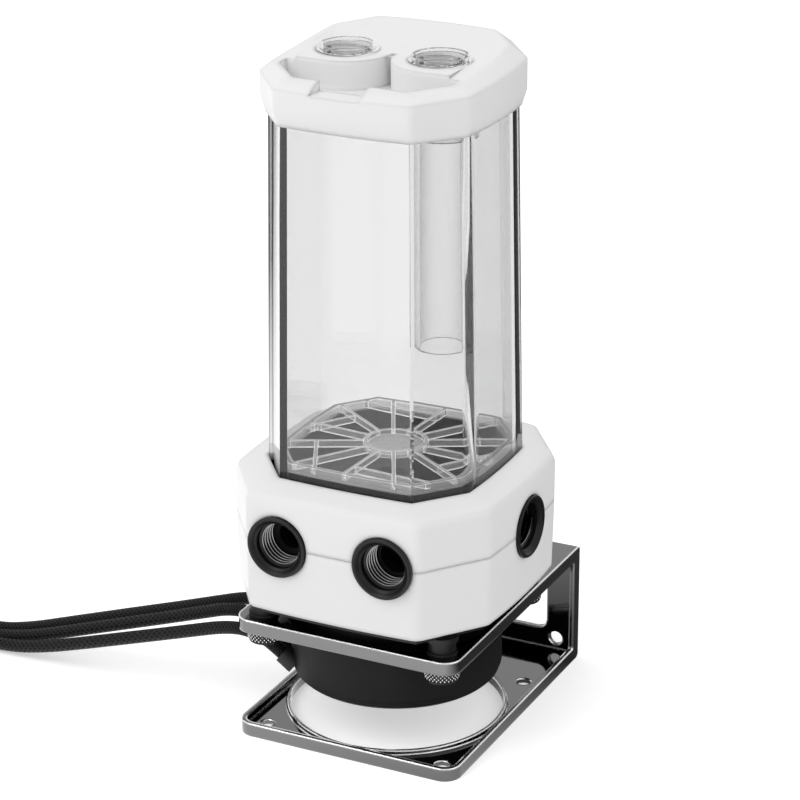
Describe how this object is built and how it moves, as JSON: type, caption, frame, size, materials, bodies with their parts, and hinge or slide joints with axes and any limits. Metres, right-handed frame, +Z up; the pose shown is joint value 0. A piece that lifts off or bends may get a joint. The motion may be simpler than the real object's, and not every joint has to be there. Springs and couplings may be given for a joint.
{
  "type": "coolant pump reservoir",
  "caption": "Liquid cooling pump with a clear tapered tank, octagonal white cowl and cover, threaded ports, an open C-shaped mounting bracket and sleeved leads with connectors.",
  "frame": {"origin": "centre of the four base holes, at the underside of the bracket's bottom plate, on the pump's axis", "axes": "+X along the face with two ports, +Y to the bracket's back wall, +Z up the pump's axis"},
  "size_m": [0.2477, 0.138, 0.1957],
  "materials": {
    "plated_steel": "polished black nickel plating",
    "black_plastic": "satin black moulded plastic",
    "brass": "turned brass",
    "black_screw": "black plated, knurled",
    "motor_black": "matte black",
    "board": "green solder mask",
    "lamination": "stacked electrical steel",
    "copper": "enamelled copper wire",
    "stainless": "stainless steel",
    "ceramic": "polished ceramic",
    "ferrite": "ground ferrite",
    "impeller_plastic": "glass-filled plastic",
    "seal_rubber": "matte rubber",
    "white_plastic": "satin white moulded plastic",
    "bushing_black": "satin black, turned",
    "clear_acrylic": "clear polished acrylic",
    "black_sleeve": "braided sleeve with a pale tracer",
    "tie_plastic": "black strap",
    "plug_plastic": "black nylon"
  },
  "bodies": {
    "base": {"mounting_bracket": "plated_steel", "clamp_ring": "black_plastic", "threaded_inserts": "brass", "pump_housing": "motor_black", "motor_end_cap": "motor_black", "control_board": "board", "stator_core": "lamination", "stator_coils": "copper", "separation_can": "stainless", "bearing_ball": "ceramic", "flange_seal": "seal_rubber", "manifold": "black_plastic", "manifold_screws": "stainless", "lower_cowl": "white_plastic", "upper_cowl": "white_plastic", "front_left_bushing": "bushing_black", "front_right_bushing": "bushing_black", "right_bushing": "bushing_black", "left_bushing": "bushing_black", "reservoir_tank": "clear_acrylic", "tank_seal": "seal_rubber", "tank_screws": "stainless", "anti_vortex_grate": "clear_acrylic", "dip_tube": "clear_acrylic", "top_cover": "white_plastic", "cable_glands": "seal_rubber", "power_cable": "black_sleeve", "power_tail": "black_sleeve", "pwm_cable": "black_sleeve", "pwm_tail": "black_sleeve", "light_cable": "black_sleeve", "light_tail": "black_sleeve", "cable_coil": "black_sleeve", "cable_tie": "tie_plastic", "power_plug": "plug_plastic", "fan_plug": "plug_plastic", "light_plug": "plug_plastic"},
    "rotor": {"impeller": "impeller_plastic", "rotor_magnet": "ferrite"},
    "screw_1": {"thumbscrew_1": "black_screw"},
    "screw_2": {"thumbscrew_2": "black_screw"},
    "screw_3": {"thumbscrew_3": "black_screw"},
    "screw_4": {"thumbscrew_4": "black_screw"}
  },
  "joints": [
    {"name": "impeller_spin", "type": "hinge", "parent": "base", "child": "rotor", "pos_m": [0, 0, 0.048], "axis": [0, 0, 1], "continuous": true},
    {"name": "screw_1_turn", "type": "hinge", "parent": "base", "child": "screw_1", "pos_m": [0.0275, 0.0275, 0.034], "axis": [0, 0, 1], "continuous": true},
    {"name": "screw_2_turn", "type": "hinge", "parent": "base", "child": "screw_2", "pos_m": [-0.0275, 0.0275, 0.034], "axis": [0, 0, 1], "continuous": true},
    {"name": "screw_3_turn", "type": "hinge", "parent": "base", "child": "screw_3", "pos_m": [-0.0275, -0.0275, 0.034], "axis": [0, 0, 1], "continuous": true},
    {"name": "screw_4_turn", "type": "hinge", "parent": "base", "child": "screw_4", "pos_m": [0.0275, -0.0275, 0.034], "axis": [0, 0, 1], "continuous": true}
  ]
}
